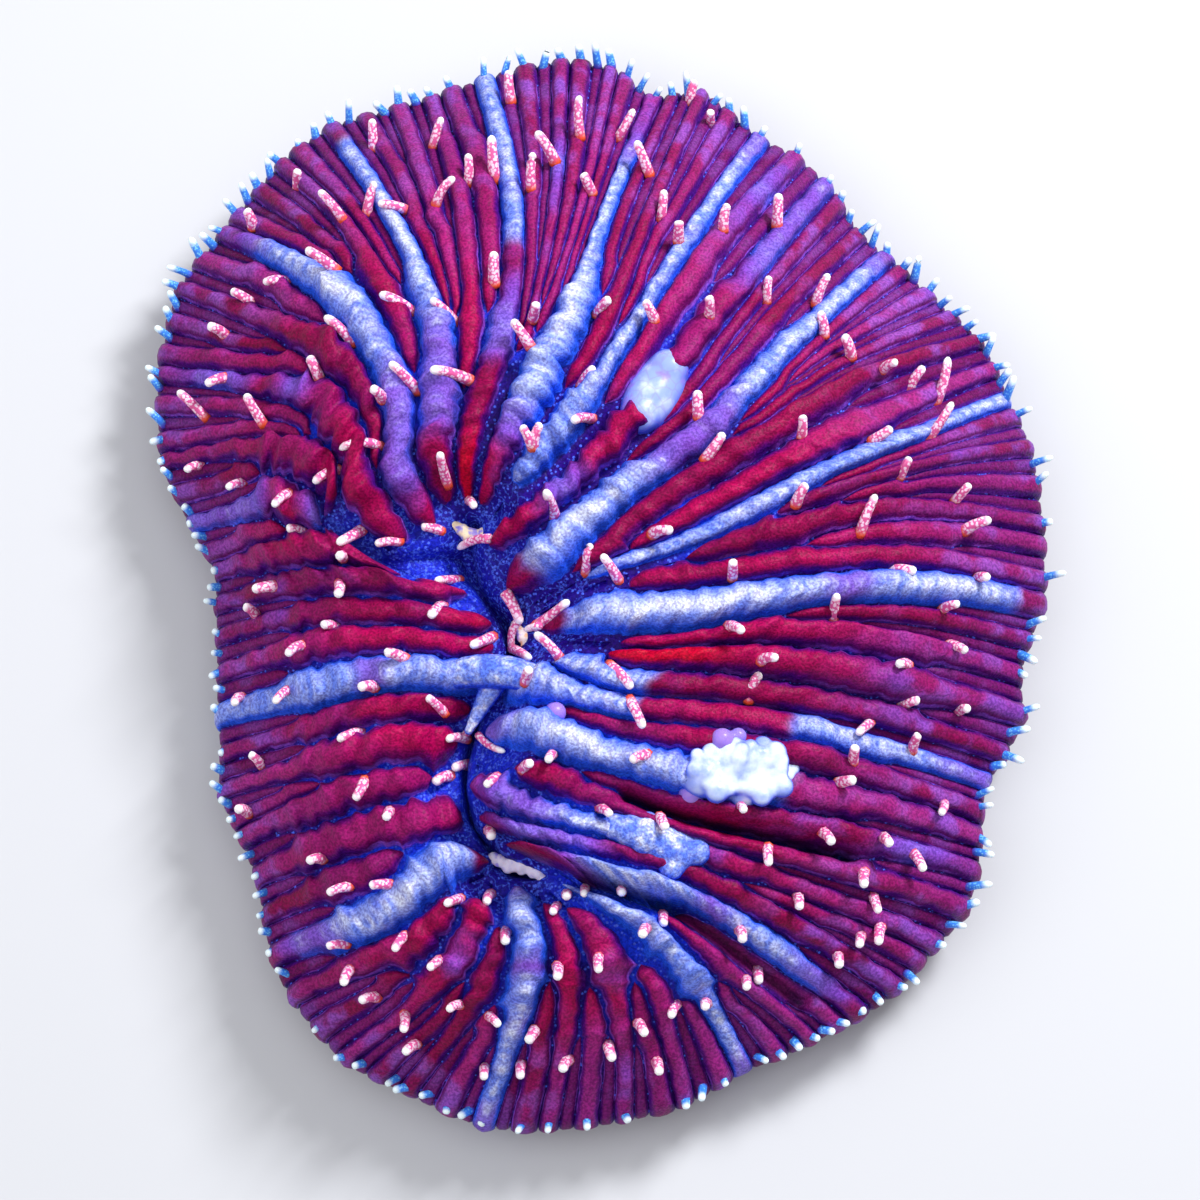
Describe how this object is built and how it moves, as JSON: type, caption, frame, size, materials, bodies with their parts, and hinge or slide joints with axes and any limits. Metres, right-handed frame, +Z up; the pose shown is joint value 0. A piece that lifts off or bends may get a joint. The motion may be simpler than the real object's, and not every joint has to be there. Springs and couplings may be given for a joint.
{
  "type": "mushroom coral",
  "caption": "Domed, lobed mushroom coral: fleshy ribs fan out from a curved furrow of mouths to a thin scalloped margin, and it lies loose on a flat underside.",
  "frame": {"origin": "centre of the bounding box in plan, on the floor that the underside rests on", "axes": "+Z up out of the mouths; +Y along the longer side of the coral; +X across it, towards its widest fan of ribs"},
  "size_m": [0.081, 0.1, 0.0218],
  "materials": {
    "coral_flesh": "soft wet living tissue, crimson to violet, over a limestone skeleton"
  },
  "bodies": {
    "root": {"coral": "coral_flesh"}
  },
  "joints": []
}
